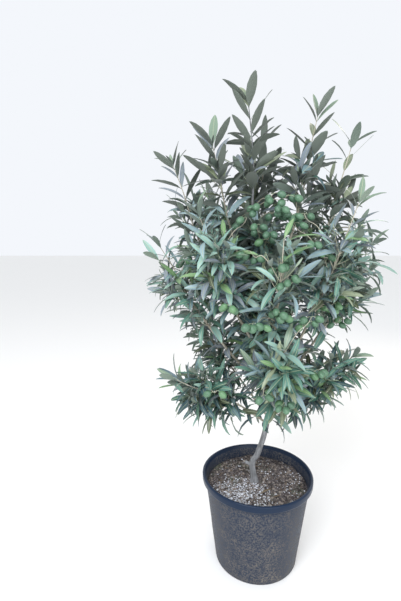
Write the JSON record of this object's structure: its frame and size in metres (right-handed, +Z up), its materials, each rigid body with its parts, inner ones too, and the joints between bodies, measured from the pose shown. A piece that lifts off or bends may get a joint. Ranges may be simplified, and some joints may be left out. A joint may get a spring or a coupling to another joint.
{
  "type": "potted olive tree",
  "caption": "Young olive tree with a slender grey trunk, upswept boughs and loose grey-green foliage, standing in a round black nursery pot of soil.",
  "frame": {"origin": "centre of the pot's flat underside, on the surface that the pot stands on", "axes": "+Z up along the pot's axis, +X to the right and +Y away as the tree's front is faced"},
  "size_m": [0.7263, 0.6273, 1.4632],
  "materials": {
    "black_plastic": "moulded black polypropylene, satin, with a film of dry dust",
    "potting_soil": "rough brown potting mix with white grit; stone stands in for soil",
    "bark": "smooth grey-beige young bark with small lenticels and knots",
    "foliage": "dark grey-green leathery leaves, silvery beneath; fabric stands in for foliage"
  },
  "bodies": {
    "root": {"pot_floor": "black_plastic", "pot_wall": "black_plastic", "pot_rim": "black_plastic", "potting_soil": "potting_soil", "trunk": "bark", "bough_back": "bark", "bough_back_left": "bark", "bough_back_right": "bark", "bough_back_upper": "bark", "bough_far_left": "bark", "bough_far_right": "bark", "bough_front": "bark", "bough_front_left": "bark", "bough_front_right": "bark", "bough_left": "bark", "bough_left_shoulder": "bark", "bough_low_back_left": "bark", "bough_low_back_right": "bark", "bough_low_front": "bark", "bough_low_left": "bark", "bough_low_right": "bark", "bough_right": "bark", "bough_right_shoulder": "bark", "foliage_back": "foliage", "foliage_back_left": "foliage", "foliage_back_right": "foliage", "foliage_back_upper": "foliage", "foliage_far_left": "foliage", "foliage_far_right": "foliage", "foliage_front": "foliage", "foliage_front_left": "foliage", "foliage_front_right": "foliage", "foliage_leader": "foliage", "foliage_left": "foliage", "foliage_left_shoulder": "foliage", "foliage_low_back_left": "foliage", "foliage_low_back_right": "foliage", "foliage_low_front": "foliage", "foliage_low_left": "foliage", "foliage_low_right": "foliage", "foliage_lower_heart": "foliage", "foliage_right": "foliage", "foliage_right_shoulder": "foliage", "foliage_upper_heart": "foliage"}
  },
  "joints": []
}
